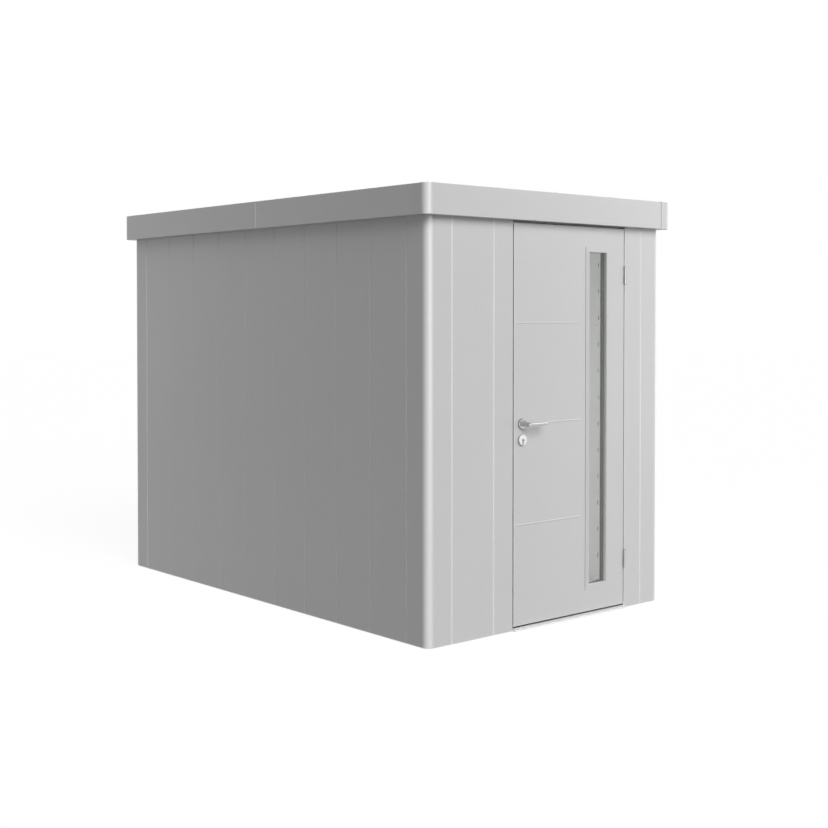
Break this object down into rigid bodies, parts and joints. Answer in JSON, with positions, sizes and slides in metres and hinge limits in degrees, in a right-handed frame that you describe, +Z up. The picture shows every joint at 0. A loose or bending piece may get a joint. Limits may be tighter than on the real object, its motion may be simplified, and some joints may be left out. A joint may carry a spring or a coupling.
{
  "type": "metal tool shed",
  "caption": "Flat-roofed tool shed of folded silver sheet-steel panels with rounded corners, a deep fascia and a side-hung door with a tall narrow window and a lever handle.",
  "frame": {"origin": "on the ground at the middle of the shed's plan", "axes": "+Z up, the door in the -Y face, +X to the right seen from the door side"},
  "size_m": [1.8, 2.959, 2.22],
  "materials": {
    "silver_coat": "satin metallic silver coat on sheet steel",
    "alloy": "mill-finish extrusion",
    "galvanised": "hot-dip galvanised sheet",
    "stainless": "satin stainless steel",
    "clear_pane": "clear acrylic sheet"
  },
  "bodies": {
    "shed": {"corner_front_left": "silver_coat", "corner_front_right": "silver_coat", "corner_rear_right": "silver_coat", "corner_rear_left": "silver_coat", "front_wall": "silver_coat", "right_wall": "silver_coat", "rear_wall": "silver_coat", "left_wall": "silver_coat", "door_jamb_left": "silver_coat", "door_jamb_right": "silver_coat", "door_header": "silver_coat", "fascia_front": "silver_coat", "fascia_right": "silver_coat", "fascia_rear": "silver_coat", "fascia_left": "silver_coat", "fascia_corners": "silver_coat", "base_rail_front": "alloy", "base_rail_right": "alloy", "base_rail_rear": "alloy", "base_rail_left": "alloy", "door_sill": "alloy", "door_stops": "alloy", "top_rail_front": "galvanised", "top_rail_right": "galvanised", "top_rail_rear": "galvanised", "top_rail_left": "galvanised", "roof_ledgers": "galvanised", "roof_beams": "galvanised", "roof_pans": "galvanised", "roof_seam_caps": "galvanised", "rear_gutter": "galvanised", "frame_hinges": "stainless"},
    "door": {"door_outer_sheet": "silver_coat", "door_inner_sheet": "silver_coat", "window_frame": "silver_coat", "window_pane": "clear_pane", "door_hinges": "stainless", "lock_case": "stainless", "lock_cylinder": "stainless", "outside_rosettes": "stainless", "inside_rosettes": "stainless"},
    "handle": {"lever_outside": "stainless", "lever_inside": "stainless", "handle_spindle": "stainless"}
  },
  "joints": [
    {"name": "door_swing", "type": "hinge", "parent": "shed", "child": "door", "pos_m": [0.5625, -1.422, 1.04], "axis": [0, 0, 1], "range_deg": [0, 110]},
    {"name": "handle_turn", "type": "hinge", "parent": "door", "child": "handle", "pos_m": [-0.223, -1.392, 1.045], "axis": [0, 1, 0], "range_deg": [0, 40], "stiffness_Nm_per_rad": 1.5, "springref_deg": -34.38}
  ]
}
